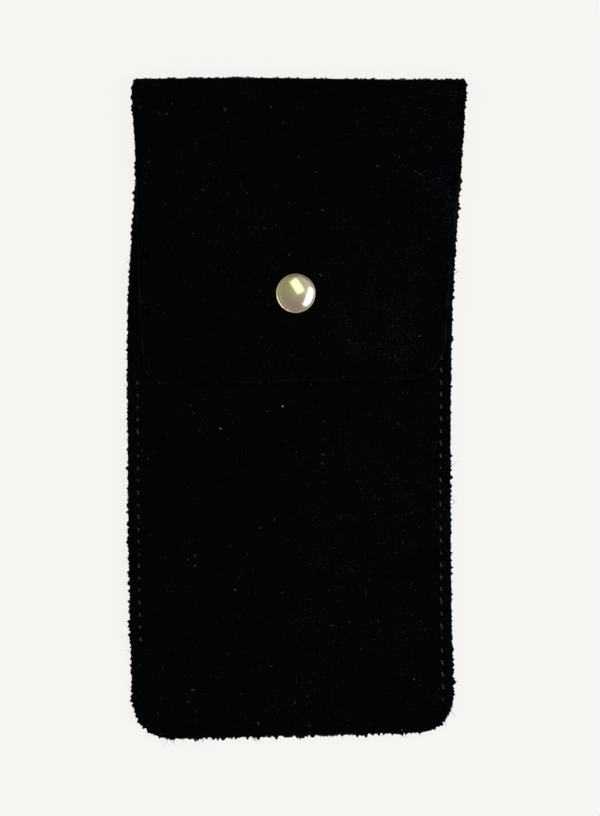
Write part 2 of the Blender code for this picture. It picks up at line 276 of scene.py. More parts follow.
def flat_mesh(outline, holes):
    """Triangles over a flat outline: fine rows along the edge, where the seam is, and coarser inside.
    holes are (x, y, radius). Returns the points, the triangles, each point's distance from the edge,
    and the point numbers of the outline and of each hole's rim."""
    normals = inward_normals(outline)
    insets = [0.0] + ROW_INSETS
    rows = [outline + normals * inset * MM for inset in insets]
    last = rows[-1]
    low, high = outline.min(axis=0), outline.max(axis=0)
    xs = np.arange(low[0], high[0], INNER_STEP)
    ys = np.arange(low[1], high[1], INNER_STEP * 0.866)
    grid = np.array([(x + (row % 2) * INNER_STEP / 2, y) for row, y in enumerate(ys) for x in xs])
    grid = grid[inside(grid, last)]
    near = tree_of(last)
    grid = grid[np.array([near.find((x, y, 0))[2] > INNER_STEP * 0.6 for x, y in grid])]
    in_rows = len(outline) * len(rows)
    loops = [range(len(outline))]
    around_holes = []
    turn = np.linspace(0, math.tau, HOLE_SIDES, endpoint=False)
    for x, y, radius in holes:
        grid = grid[np.hypot(grid[:, 0] - x, grid[:, 1] - y) > radius + HOLE_CLEARANCE]
        first = in_rows + len(around_holes) * HOLE_SIDES
        loops.append(range(first, first + HOLE_SIDES))
        for wider in HOLE_RINGS:
            ring = radius + wider * MM
            around_holes.append(np.column_stack([x + ring * np.cos(turn), y + ring * np.sin(turn)]))
    points = np.vstack(rows + around_holes + [grid])
    tree = tree_of(outline)
    deep = np.array([tree.find((x, y, 0))[2] for x, y in points[in_rows:]])
    distance = np.concatenate([np.repeat(np.array(insets) * MM, len(outline)), deep])
    edges = [(loop[i], loop[(i + 1) % len(loop)]) for loop in loops for i in range(len(loop))]
    found = geometry.delaunay_2d_cdt([Vector(p / MM) for p in points], edges, [], 1, 1e-5)
    flat = np.array([tuple(v) for v in found[0]]) * MM
    triangles = np.array([f for f in found[2] if len(f) == 3])
    for x, y, radius in holes:
        middle = flat[triangles].mean(axis=1)
        triangles = triangles[np.hypot(middle[:, 0] - x, middle[:, 1] - y) > radius * 0.995]
    a, b, c = (flat[triangles[:, i]] for i in range(3))
    turned = np.cross(b - a, c - a) < 0
    triangles[turned] = triangles[turned][:, ::-1]
    new_index = {}
    new_distance = np.zeros(len(flat))
    for index, sources in enumerate(found[3]):
        for source in sources:
            new_index[source] = index
            new_distance[index] = distance[source]
    rim, *circles = [np.array([new_index[i] for i in loop]) for loop in loops]
    return flat, triangles, new_distance, rim, circles


# ---- seam

def seam_line():
    """Needle holes as rows of (x, y), set in from the pocket's edge, from mouth to mouth."""
    left, right = (panel_side(POCKET, index, MOUTH_Y - SEAM_END) for index in (0, 1))
    edge = resampled(np.vstack([left[::-1], right]), 0.5 * MM)
    line = edge + inward_normals(edge, closed=False) * SEAM_INSET
    wander = soft_noise([(p[0], p[1], 0) for p in line], 14 * MM, 3) * 0.12 * MM
    line = line + inward_normals(line, closed=False) * wander[:, None]
    return resampled(line, STITCH)


SEAM = seam_line()
SEAM_FINE = resampled(SEAM, STITCH / 24)


def seam_sink(points):
    """How far the seam presses the suede in at each flat point: a groove, and a pit at each hole."""
    groove_depth, groove_width = 0.16, 0.9 * MM
    pit_depth, pit_width = 0.30, 0.55 * MM
    line, holes = tree_of(SEAM_FINE), tree_of(SEAM)
    sink = np.zeros(len(points))
    for index, (x, y) in enumerate(points):
        from_line = line.find((x, y, 0))[2]
        if from_line < SEAM_REACH:
            from_hole = holes.find((x, y, 0))[2]
            sink[index] = groove_depth * math.exp(-(from_line / groove_width) ** 2)
            sink[index] += pit_depth * math.exp(-(from_hole / pit_width) ** 2)
    return sink * MM


# ---- suede sheets

def wrap_place(flat):
    """Where the middle of the wrap's thickness lies, for flat points (x, s)."""
    x, s = flat[:, 0], flat[:, 1]
    turn = np.clip((s - FOLD_S) / FOLD_MIDDLE, 0, math.pi)
    y = np.where(s < FOLD_S, FOOT_Y + s, HINGE.y + FOLD_MIDDLE * np.sin(turn))
    z = np.where(s < FOLD_S, HALF, HINGE.z - FOLD_MIDDLE * np.cos(turn))
    on_flap = s > FOLD_S + FOLD_LENGTH
    y = np.where(on_flap, HINGE.y - (s - FOLD_S - FOLD_LENGTH), y)
    z = np.where(on_flap, flap_middle(x, y), z)
    return np.column_stack([x, y, z])


def front_place(flat):
    x, y = flat[:, 0], flat[:, 1]
    return np.column_stack([x, y, front_middle(x, y)])


def with_normals(place, flat):
    """Places and unit normals of a sheet, the normal being across times along."""
    step = 0.05 * MM
    across = place(flat + [step, 0]) - place(flat - [step, 0])
    along = place(flat + [0, step]) - place(flat - [0, step])
    return place(flat), unit(np.cross(across, along))


def rim_round(distance):
    """The share of full half thickness at a distance from the cut edge: a cut edge is a little rounded."""
    at_edge, reach = 0.62, 0.55 * MM
    t = np.clip(distance / reach, 0, 1)
    return at_edge + (1 - at_edge) * np.sqrt(1 - (1 - t) ** 2)


def add_object(name, data):
    made = bpy.data.objects.new(name, data)
    bpy.context.scene.collection.objects.link(made)
    return made


def make_mesh(name, vertices, triangles, quads, smooth=True):
    mesh = bpy.data.meshes.new(name)
    triangles = np.asarray(triangles, np.int32).reshape(-1, 3)
    quads = np.asarray(quads, np.int32).reshape(-1, 4)
    mesh.vertices.add(len(vertices))
    mesh.vertices.foreach_set("co", np.asarray(vertices, np.float32).ravel())
    corners = np.concatenate([triangles.ravel(), quads.ravel()])
    totals = np.concatenate([np.full(len(triangles), 3), np.full(len(quads), 4)])
    mesh.loops.add(len(corners))
    mesh.loops.foreach_set("vertex_index", corners)
    mesh.polygons.add(len(totals))
    mesh.polygons.foreach_set("loop_start", np.append(0, np.cumsum(totals)[:-1]).astype(np.int32))
    mesh.polygons.foreach_set("loop_total", totals.astype(np.int32))
    mesh.update(calc_edges=True)
    mesh.validate()
    if smooth:
        mesh.shade_smooth()
    return add_object(name, mesh)


def keep(piece, name, values, kind="FLOAT", field="value"):
    """Stores a value for each point, which the material reads."""
    points = piece.data.attributes.new(name, kind, "POINT").data
    points.foreach_set(field, np.asarray(values, np.float32).ravel())


def keep_rest(piece):
    """Stores each point's rest place, which the material's patterns follow."""
    places = np.zeros(len(piece.data.vertices) * 3, np.float32)
    piece.data.vertices.foreach_get("co", places)
    keep(piece, "rest", places, "FLOAT_VECTOR", "vector")


def ragged(outline, seed):
    """How far each outline point stands out of a rough cut edge: jagged, with small tufts that are
    thicker along the foot."""
    points = [(p[0], p[1], 0) for p in outline]
    coarse = soft_noise(points, 3.1 * MM, seed)
    jags = soft_noise(points, 0.62 * MM, seed + 1)
    tufts = soft_noise(points, 0.95 * MM, seed + 2)
    up = outline[:, 1] - outline[:, 1].min()
    foot = 1 + 0.35 * (up < 4 * MM) + 0.35 * smoothstep((75 * MM - up) / (30 * MM))
    return (0.07 * coarse + 0.24 * jags + 1.3 * foot * np.maximum(tufts - 0.2, 0) ** 1.1 - 0.03) * MM


def build_sheet(name, outline, holes, surface, top_sink, under_sink):
    """A closed sheet from its flat outline: two faces, a rough cut rim, and a wall in each hole."""
    flat, triangles, distance, rim, circles = flat_mesh(outline, holes)
    middle, normals = surface(flat)
    half = HALF * rim_round(distance)
    top = middle + normals * (half - top_sink(flat))[:, None]
    under = middle - normals * (half - under_sink(flat))[:, None]
    outward = unit(surface(outline - inward_normals(outline) * 0.1 * MM)[0] - middle[rim])
    top[rim] += outward * ragged(outline, 5)[:, None]
    under[rim] += outward * ragged(outline, 9)[:, None]
    loops = []
    for share, seed in ((0.3, 13), (-0.3, 21)):
        stand = 0.12 * MM + ragged(outline, seed)
        loops.append(middle[rim] + outward * stand[:, None] + normals[rim] * (half[rim] * share)[:, None])
    count = len(flat)
    around = np.arange(len(rim))
    rows = [rim, 2 * count + around, 2 * count + len(rim) + around, rim + count]
    quads = []
    for upper, lower in zip(rows, rows[1:]):
        quads.append(np.column_stack([upper, lower, np.roll(lower, -1), np.roll(upper, -1)]))
    for circle in circles:
        ahead = np.roll(circle, -1)
        quads.append(np.column_stack([circle, ahead, ahead + count, circle + count]))
    faces = np.vstack([triangles, triangles[:, ::-1] + count])
    piece = make_mesh(name, np.vstack([top, under] + loops), faces, np.vstack(quads))
    keep_rest(piece)
    cut_edge = np.exp(-(distance / (0.22 * MM)) ** 2)
    keep(piece, "cut_edge", np.concatenate([cut_edge, cut_edge, np.ones(2 * len(rim))]))
    return piece


def slack(x, y):
    """The soft rise and fall of the suede where nothing holds it, the same for the front and the flap
    that lies on it."""
    points = np.column_stack([x, y, np.zeros_like(x)])
    broad = soft_noise(points, 26 * MM, 2) * 0.6 + soft_noise(points, 11 * MM, 6) * 0.2
    free = smoothstep(bow_across(x, y) * 3) * smoothstep((y - FOOT_Y - FLANGE) / (12 * MM))
    held = 1 - np.exp(-((from_snap(x, y) / (9 * MM)) ** 4))
    return broad * free * held * MM


def snap_puckers(x, y):
    """Shallow wrinkles that run out from the snap."""
    reach = from_snap(x, y)
    angle = np.arctan2(y - SNAP.y, x - SNAP.x)
    wave = np.sin(5 * angle + 0.7) + 0.6 * np.sin(9 * angle + 2.0)
    grow = smoothstep((reach - 5 * MM) / (4 * MM)) * (1 - smoothstep((reach - 9 * MM) / (13 * MM)))
    return 0.11 * MM * wave * grow


def wrap_dents(flat):
    """How far the flap sinks in at each flat point, against its slack and puckers."""
    x, down = flat[:, 0], flat[:, 1] - FOLD_S - FOLD_LENGTH
    y = HINGE.y - down
    return -(slack(x, y) + snap_puckers(x, y)) * smoothstep((down - 2 * MM) / (9 * MM))


def fold_drift(flat):
    """How far the fold stands off a straight line across the case, and the wrap near it with it."""
    x, s = flat[:, 0], flat[:, 1]
    near = np.exp(-((s - FOLD_S - FOLD_LENGTH / 2) / (9 * MM)) ** 2)
    hump = 0.42 * np.exp(-(((x + 14 * MM) / (26 * MM)) ** 2)) - 0.05
    uneven = soft_noise(np.column_stack([x, s * 0.2, 0 * x]), 2.6 * MM, 12)
    return near * (hump + 0.09 * uneven) * MM


def wrap_surface(flat):
    """Middle of the wrap and its normals, which point into the case."""
    middle, normals = with_normals(wrap_place, flat)
    middle = middle + normals * wrap_dents(flat)[:, None]
    middle[:, 1] += fold_drift(flat)
    return middle, normals


def front_surface(flat):
    middle, normals = with_normals(front_place, flat)
    return middle + normals * slack(flat[:, 0], flat[:, 1])[:, None], normals


def no_sink(flat):
    return np.zeros(len(flat))


def back_sink(flat):
    return np.where(flat[:, 1] < MOUTH_Y - FOOT_Y + 3 * MM, seam_sink(flat + [0, FOOT_Y]), 0)


# ---- thread

def tube(name, path, radius, sides, plies=0, relief=0.0, twist=0.0):
    """A tube along a path that is nowhere upright, or a thread of twisted plies that stand out by a
    share of the radius."""
    path = np.asarray(path, float)
    count = len(path)
    along = unit(np.gradient(path, axis=0))
    across = unit(np.cross(along, (0, 0, 1)))
    upward = np.cross(across, along)
    lengths = np.append(0, np.cumsum(np.linalg.norm(np.diff(path, axis=0), axis=1)))
    turn = np.arange(sides) * math.tau / sides
    spin = (turn[None] + (lengths * twist)[:, None])[..., None]
    reach = radius * (1 + relief * np.cos(plies * turn))[None, :, None]
    rings = path[:, None] + (across[:, None] * np.cos(spin) + upward[:, None] * np.sin(spin)) * reach
    head = np.arange(sides)
    quads = []
    for ring in range(count - 1):
        here = ring * sides + head
        there = here + sides
        quads.append(np.column_stack([here, np.roll(here, -1), np.roll(there, -1), there]))
    vertices = np.vstack([rings.reshape(-1, 3), path[:1], path[-1:]])
    first, end = count * sides, count * sides + 1
    tail = (count - 1) * sides + head
    triangles = np.vstack([
        np.column_stack([np.full(sides, first), np.roll(head, -1), head]),
        np.column_stack([np.full(sides, end), tail, np.roll(tail, -1)]),
    ])
    return make_mesh(name, vertices, triangles, np.vstack(quads))


def stitched(name, surface_z, out, seed):
    """A strand of lockstitch. Each stitch comes up on the outer side of the seam line, lies over the
    suede on a slant, and goes down on the inner side to where it locks with the other strand. It sinks
    in more along the foot and beside the flap's left edge. out is +1 on the top face, -1 underneath."""
    steps = np.linspace(0.02, 0.98, 17)
    path = []
    for index, (start, end) in enumerate(zip(SEAM, SEAM[1:])):
        along = end - start
        inward = np.array([-along[1], along[0]]) / np.hypot(*along)
        slant = 0.46 + 0.16 * noise.noise(Vector((index * 3.1, 0, seed)))
        left = start[0] < 0
        buried_from = -54 * MM if left else -71 * MM
        at_foot = smoothstep((buried_from - start[1]) / (9 * MM))
        at_flap = smoothstep((start[1] - 7 * MM) / (6 * MM)) * left
        crest = -0.24 if left else -0.16
        crest += 0.28 * noise.noise(Vector((index * 5.3, 4, seed))) - 0.32 * at_foot - 0.14 * at_flap
        middle = 0.06 * noise.noise(Vector((index * 2.7, 8, seed)))
        for step in steps:
            place = start + along * (step + middle) + inward * (2 * step - 1) * slant * MM
            height = max((crest - 1.5 * abs(2 * step - 1) ** 1.7) * MM, -LOCK_DEPTH)
            path.append((place[0], place[1], surface_z + out * height))
    strand = tube(name, path, THREAD, sides=12, plies=3, relief=PLY_RELIEF, twist=math.tau / PLY_LAY)
    keep_rest(strand)
    return strand


# ---- fibres

def fibres(name, roots, directions, lengths, widths, tints, curl, rings, seed):
    """Fine hairs, each a three-sided taper that bends and curls, all in one mesh."""
    draw = np.random.default_rng(seed)
    count = len(roots)
    directions = unit(directions)
    side = unit(np.cross(directions, draw.normal(size=(count, 3))))
    other = np.cross(directions, side)
    lengths, widths = lengths[:, None], widths[:, None]
    bend = draw.normal(0, 0.35, (count, 1)) * lengths
    phase = draw.uniform(0, math.tau, (count, 1))
    wind = draw.uniform(3.0, 7.0, (count, 1))
    vertices = []
    for ring in range(rings + 1):
        t = ring / rings
        swing = phase + t * wind
        center = roots + directions * (lengths * t * (1 - 0.25 * curl * t)) + side * bend * t * t
        center = center + (side * np.cos(swing) + other * np.sin(swing)) * (curl * lengths * 0.22 * t)
        width = widths * (1 - 0.7 * t * t) if ring < rings else 0
        for corner in range(3 if ring < rings else 1):
            angle = corner * math.tau / 3
            vertices.append(center + (side * math.cos(angle) + other * math.sin(angle)) * width)
    per = 3 * rings + 1
    vertices = np.stack(vertices, axis=1).reshape(-1, 3)
    vertices[:, 2] = np.maximum(vertices[:, 2], 0.02 * MM)
    base = np.arange(count)[:, None] * per
    triangles, quads = [base + [0, 2, 1]], []
    around = ((0, 1), (1, 2), (2, 0))
    for ring in range(rings - 1):
        for corner, ahead in around:
            quads.append(base + 3 * ring + [corner, ahead, ahead + 3, corner + 3])
    for corner, ahead in around:
        triangles.append(base + [per - 4 + corner, per - 4 + ahead, per - 1])
    piece = make_mesh(name, vertices, np.vstack(triangles), np.vstack(quads))
    tints = np.column_stack([tints, np.ones(count)])
    keep(piece, "tint", np.repeat(tints, per, axis=0), "FLOAT_COLOR", "color")
    return piece


def dark_tints(count, draw, pale_share):
    """Mostly black hairs, with a share of grey, teal and brown ones that catch the light."""
    tints = np.full((count, 3), 0.0022) * draw.uniform(0.5, 2.2, (count, 1))
    pale = draw.random(count) < pale_share
    tints[pale] = pale_tints(pale.sum(), draw) * 0.4
    return tints


def pale_tints(count, draw):
    kinds = np.array([(0.06, 0.068, 0.066), (0.035, 0.075, 0.075), (0.08, 0.072, 0.064), (0.05, 0.055, 0.05)])
    return kinds[draw.integers(0, 4, count)] * draw.uniform(0.3, 2.0, (count, 1)) ** 1.5


def edge_roots(outline, surface, span, weight, count, draw):
    """Hairs on the cut rim, picked by weight and kept within the span: their outline points, their
    roots, and the ways out of the edge, along it, and across the sheet."""
    picks = draw.choice(len(outline), count, p=weight / weight.sum())
    along_sheet = outline[picks][:, 1]
    picks = picks[(along_sheet > span[0]) & (along_sheet <= span[1])]
    into = inward_normals(outline)[picks]
    flat = outline[picks] + into * 0.15 * MM
    middle, normals = surface(flat)
    out = unit(surface(flat - into * 0.1 * MM)[0] - middle)
    along = np.cross(normals, out)
    level = draw.uniform(-0.6, 0.6, (len(picks), 1))
    roots = middle + normals * level * HALF + along * draw.uniform(-0.5, 0.5, (len(picks), 1)) * OUTLINE_STEP
    return picks, roots, out, along, normals * level


def edge_fluff(name, outline, surface, span, per_mm, seed):
    """Short hairs that stand out of a cut edge in tufts."""
    draw = np.random.default_rng(seed)
    count = int(len(outline) * OUTLINE_STEP / MM * per_mm)
    places = [(p[0], p[1], 3) for p in outline]
    clump = soft_noise(places, 0.85 * MM, seed)
    weight = 0.05 + np.maximum(clump, 0) ** 2
    picks, roots, out, along, across = edge_roots(outline, surface, span, weight, count, draw)
    lean = soft_noise(places, 1.1 * MM, seed + 4)[picks][:, None]
    kept = len(picks)
    directions = out + along * lean * 1.8 + across * 0.5 + draw.normal(0, 0.35, (kept, 3))
    lengths = draw.uniform(0.25, 0.65, kept) * (0.8 + 1.5 * np.maximum(clump[picks], 0)) * MM
    widths = draw.uniform(0.030, 0.075, kept) * MM
    tints = dark_tints(kept, draw, pale_share=0.05)
    return fibres(name, roots, directions, lengths, widths, tints, curl=1.2, rings=4, seed=seed)


def stray_hairs(name, outline, surface, span, count, seed):
    """Single long hairs that curl away from a cut edge, more of them along the foot."""
    draw = np.random.default_rng(seed)
    weight = 1 + 3.0 * (outline[:, 1] < outline[:, 1].min() + 5 * MM)
    _, roots, out, along, across = edge_roots(outline, surface, span, weight, count, draw)
    kept = len(roots)
    directions = out + along * draw.normal(0, 0.6, (kept, 1)) + across * 0.5
    lengths = (0.9 + 2.2 * draw.random(kept) ** 2.0) * MM
    widths = draw.uniform(0.050, 0.085, kept) * MM
    tints = pale_tints(kept, draw) * 0.2
    return fibres(name, roots, directions, lengths, widths, tints, curl=1.1, rings=12, seed=seed)


def scattered(face, span, per_mm2, draw):
    """Random flat points inside a face's outline and the span."""
    outline = face[0]
    low, high = outline.min(axis=0), outline.max(axis=0)
    low[1], high[1] = max(low[1], span[0]), min(high[1], span[1])
    flat = draw.uniform(low, high, (int((high - low).prod() / MM ** 2 * per_mm2), 2))
    return np.vstack([part[inside(part, outline)] for part in np.array_split(flat, 12)])


def face_roots(face, flat):
    """Roots of hairs just under a face at flat points, and its outward normals. A face is an outline, a
    surface, +1 or -1 for the side that the normals are on or the other, and how far it sinks in."""
    surface, side, sink = face[1:]
    middle, normals = surface(flat)
    normals = normals * side
    return middle + normals * (HALF - sink(flat) - 0.03 * MM)[:, None], normals


def along_face(ways, normals):
    return ways - normals * (ways * normals).sum(axis=1)[:, None]


def nap(name, face, span, per_mm2, seed):
    """Raised hairs over one face of a sheet, brushed towards the foot."""
    draw = np.random.default_rng(seed)
    roots, normals = face_roots(face, scattered(face, span, per_mm2, draw))
    count = len(roots)
    brushed = along_face(np.array([0.25, -1.0, 0.0]) + draw.normal(0, 0.8, (count, 3)), normals)
    directions = unit(brushed) + normals * draw.uniform(0.24, 0.96, count)[:, None]
    clump = soft_noise(roots, 1.0 * MM, seed)
    lengths = draw.uniform(0.22, 0.5, count) * (0.6 + 1.6 * np.maximum(clump, 0)) * MM
    widths = draw.uniform(0.018, 0.040, count) * MM
    tints = dark_tints(count, draw, pale_share=0.07)
    return fibres(name, roots, directions, lengths, widths, tints, curl=0.9, rings=3, seed=seed)


def tufts(name, face, span, per_mm2, seed):
    """Short black hairs in small bunches that stand straight out of a face."""
    draw = np.random.default_rng(seed)
    flat = scattered(face, span, per_mm2, draw)
    bunch = soft_noise([(x, s * 0.2, 0) for x, s in flat], 0.75 * MM, seed) - 0.02
    flat, bunch = flat[bunch > 0], bunch[bunch > 0]
    roots, normals = face_roots(face, flat)
    count = len(roots)
    directions = normals + draw.normal(0, 0.3, (count, 3))
    lengths = draw.uniform(0.16, 0.30, count) * (0.7 + 2.2 * bunch) * MM
    widths = draw.uniform(0.050, 0.080, count) * MM
    tints = dark_tints(count, draw, pale_share=0.0)
    return fibres(name, roots, directions, lengths, widths, tints, curl=0.5, rings=3, seed=seed)


def lint(name, face, span, per_mm2, seed):
    """Crumbs of fluff and short pale fibres that lie on the suede, with a longer one here and there."""
    draw = np.random.default_rng(seed)
    roots, normals = face_roots(face, scattered(face, span, per_mm2, draw))
    count = len(roots)
    directions = along_face(draw.normal(0, 1, (count, 3)), normals)
    directions += normals * 0.25 * np.linalg.norm(directions, axis=1)[:, None]
    lengths = (0.12 + 1.1 * draw.random(count) ** 6) * MM
    widths = draw.uniform(0.035, 0.060, count) * (1 + 1.3 * draw.random(count) ** 4) * MM
    roots = roots + normals * 0.05 * MM
    tints = pale_tints(count, draw) * (0.6 + 3.0 * draw.random((count, 1)) ** 3)
    return fibres(name, roots, directions, lengths, widths, tints, curl=0.9, rings=5, seed=seed)


# ---- snap

# Turned pieces as (radius, height above the front panel) in millimetres, down the outer side
STUD = [
    (0, 2.6), (1.3, 2.55), (1.9, 2.35), (2.2, 1.95), (2.15, 1.7), (1.85, 1.45), (1.85, 0.75),
    (2.1, 0.5), (3.9, 0.45), (4.2, 0.3), (4.2, 0.05), (1.55, 0.05), (1.55, 1.5), (1.8, 1.75),
    (1.8, 2.0), (1.5, 2.2), (0, 2.25),
]
POST = [
    (1.35, 1.95), (1.7, 1.9), (1.7, 1.8), (1.45, 1.5), (1.45, -1.25), (4.3, -1.25), (4.5, -1.35),
    (4.5, -1.55), (4.3, -1.65), (1.3, -1.65), (1.05, -1.45), (1.05, 1.5),
]
SOCKET = [
    (1.3, 3.45), (4.5, 3.45), (4.7, 3.25), (4.7, 2.9), (4.3, 2.7), (3.4, 2.6), (3.1, 2.2),
    (3.1, 0.95), (2.9, 0.75), (2.35, 0.75), (2.35, 0.9), (2.75, 0.9), (2.75, 1.7), (2.45, 1.8),
    (2.45, 3.1), (1.3, 3.1),
]
CAP_RIVET = [
    (0, 5.6), (2.0, 5.55), (4.3, 5.28), (4.3, 5.08), (1.2, 5.08), (1.2, 3.03), (1.7, 2.93),
    (1.7, 2.8), (1.1, 2.85), (0.8, 3.1), (0.8, 5.2), (0, 5.25),
]


def softened(profile, rounds):
    """A turned profile with its corners cut round, the ends kept."""
    points = np.array(profile, float)
    for _ in range(rounds):
        before, after = points[:-1], points[1:]
        cut = np.hstack([before * 0.8 + after * 0.2, before * 0.2 + after * 0.8]).reshape(-1, 2)
        points = np.vstack([points[:1], cut[1:-1], points[-1:]])
    return points


def turned(name, profile, closed=False, steps=96, rounds=2):
    """A turned piece on the snap's axis."""
    points = softened(profile + profile[:1] if closed else profile, rounds)
    if closed:
        points = points[:-1]
    turn = np.arange(steps) * math.tau / steps
    rows, vertices = [], []
    for radius, height in points:
        count = steps if radius > 1e-9 else 1
        rows.append(len(vertices) + np.arange(steps) % count)
        vertices += [
            (SNAP.x + radius * MM * math.cos(a), SNAP.y + radius * MM * math.sin(a), SNAP.z + height * MM)
            for a in turn[:count]
        ]
    if closed:
        rows.append(rows[0])
    triangles, quads = [], []
    for upper, lower in zip(rows, rows[1:]):
        up, low = np.roll(upper, -1), np.roll(lower, -1)
        if upper[0] == upper[-1]:
            triangles.append(np.column_stack([upper, lower, low]))
        elif lower[0] == lower[-1]:
            triangles.append(np.column_stack([upper, lower, up]))
        else:
            quads.append(np.column_stack([upper, lower, low, up]))
    return make_mesh(name, vertices, np.vstack(triangles) if triangles else [], np.vstack(quads))


def make_cap():
    """A low dome inside a sloping rim that curls in under the flange of its rivet. The dome was pressed
    a little to one side of the rim."""
    top, radius, sphere, wall = 6.95, 4.1, 9.9, 0.35
    rim_top, rim_slope = 6.065, 0.58
    pressed_above, pressed_over, pressed_x, pressed_y = 5.8, 0.2, 0.20, 0.08
    center = top - sphere
    outer = [(r, center + math.sqrt(sphere ** 2 - r ** 2)) for r in np.linspace(0, radius, 14)]
    inner = [(r, center + math.sqrt((sphere - wall) ** 2 - r ** 2)) for r in np.linspace(0, radius * 0.93, 8)]
    rim = [(r, rim_top - rim_slope * (r - radius)) for r in np.linspace(4.2, 4.78, 7)]
    rim += [
        (4.89, 5.56), (4.96, 5.35), (4.97, 4.95), (4.85, 4.78), (3.8, 4.76), (3.65, 4.88), (3.8, 5.0),
        (4.5, 5.04), (4.6, 5.15), (4.35, 5.4),
    ]
    cap = turned("cap", outer + rim + inner[::-1], rounds=1, steps=128)
    for vertex in cap.data.vertices:
        pressed = float(smoothstep(((vertex.co.z - SNAP.z) / MM - pressed_above) / pressed_over))
        vertex.co.x += pressed_x * MM * pressed
        vertex.co.y += pressed_y * MM * pressed
    return cap


def make_ring_spring():
    angles = np.linspace(math.radians(14), math.radians(346), 80)
    radius, height = 2.3 * MM, 1.3 * MM
    path = [(SNAP.x + radius * math.cos(a), SNAP.y + radius * math.sin(a), SNAP.z + height) for a in angles]
    return tube("ring_spring", path, 0.28 * MM, sides=14)


# ---- materials

def node(tree, kind, inputs=None, **settings):
    """A new shader node with its settings, and its inputs set to values or linked to sockets."""
    made = tree.nodes.new("ShaderNode" + kind)
    for key, value in settings.items():
        setattr(made, key, value)
    for key, value in (inputs or {}).items():
        if isinstance(value, bpy.types.NodeSocket):
            tree.links.new(value, made.inputs[key])
        else:
            made.inputs[key].default_value = value
    return made


def new_material(name, **values):
    """A material with constant values on its Principled shader, and its tree."""
    material = bpy.data.materials.new(name)
    material.use_nodes = True
    tree = material.node_tree
    shader = tree.nodes["Principled BSDF"]
    for key, value in values.items():
        shader.inputs[key.replace("_", " ")].default_value = value
    return material, tree, shader


def drive(tree, shader, color, roughness):
    tree.links.new(color, shader.inputs["Base Color"])
    tree.links.new(roughness, shader.inputs["Roughness"])


def add_bump(tree, shader, height, strength, distance):
    bump = node(tree, "Bump", {"Strength": strength, "Distance": distance, "Height": height})
    tree.links.new(bump.outputs["Normal"], shader.inputs["Normal"])


def noise_at(tree, vector, size, detail=2.0, roughness=0.5, stretch=None):
    """Noise with features of about size metres, from 0 to 1."""
    if stretch:
        vector = node(tree, "Mapping", {"Vector": vector, "Scale": stretch}).outputs["Vector"]
    values = {"Vector": vector, "Scale": 1 / size, "Detail": detail, "Roughness": roughness}
    return node(tree, "TexNoise", values).outputs["Fac"]


def ramp(tree, value, low, high, to_low=0.0, to_high=1.0):
    """value taken smoothly from low..high to to_low..to_high."""
    values = {"Value": value, "From Min": low, "From Max": high, "To Min": to_low, "To Max": to_high}
    return node(tree, "MapRange", values, interpolation_type="SMOOTHSTEP").outputs["Result"]


def maths(tree, operation, first, second):
    return node(tree, "Math", {0: first, 1: second}, operation=operation).outputs[0]


def times(tree, first, second):
    return maths(tree, "MULTIPLY", first, second)


def attribute(tree, name, output):
    return node(tree, "Attribute", attribute_name=name).outputs[output]


def mixed(tree, share, first, second):
    """The first colour with a share of the second, each a socket or (red, green, blue)."""
    colors = [(*value, 1) if isinstance(value, tuple) else value for value in (first, second)]
    return node(tree, "Mix", {0: share, 6: colors[0], 7: colors[1]}, data_type="RGBA").outputs[2]


def patch_at(tree, rest, middle, reach, warp):
    """A soft patch, 1 in its middle (x, y) and fading to 0 about its reach (x, y), both in millimetres."""
    center = (middle[0] * MM, middle[1] * MM, 0)
    wide = (1 / reach[0] / MM, 1 / reach[1] / MM, 0)
    moved = node(tree, "VectorMath", {0: rest, 1: center}, operation="SUBTRACT").outputs[0]
    scaled = node(tree, "VectorMath", {0: moved, 1: wide}, operation="MULTIPLY").outputs[0]
    length = node(tree, "VectorMath", {0: scaled}, operation="LENGTH").outputs["Value"]
    return ramp(tree, maths(tree, "ADD", length, warp), 0.5, 1.5, 1.0, 0.0)


def specks(tree, rest, size, radius, share):
    """Small round specks, one to a cell of the given size, on a share of the cells."""
    cell = node(tree, "TexVoronoi", {"Vector": rest, "Scale": 1 / size})
    pick = node(tree, "SeparateColor", {"Color": cell.outputs["Color"]}).outputs["Red"]
    chosen = ramp(tree, pick, 1 - share, 1.0)
    return times(tree, ramp(tree, cell.outputs["Distance"], radius * 0.6, radius, 1.0, 0.0), chosen)


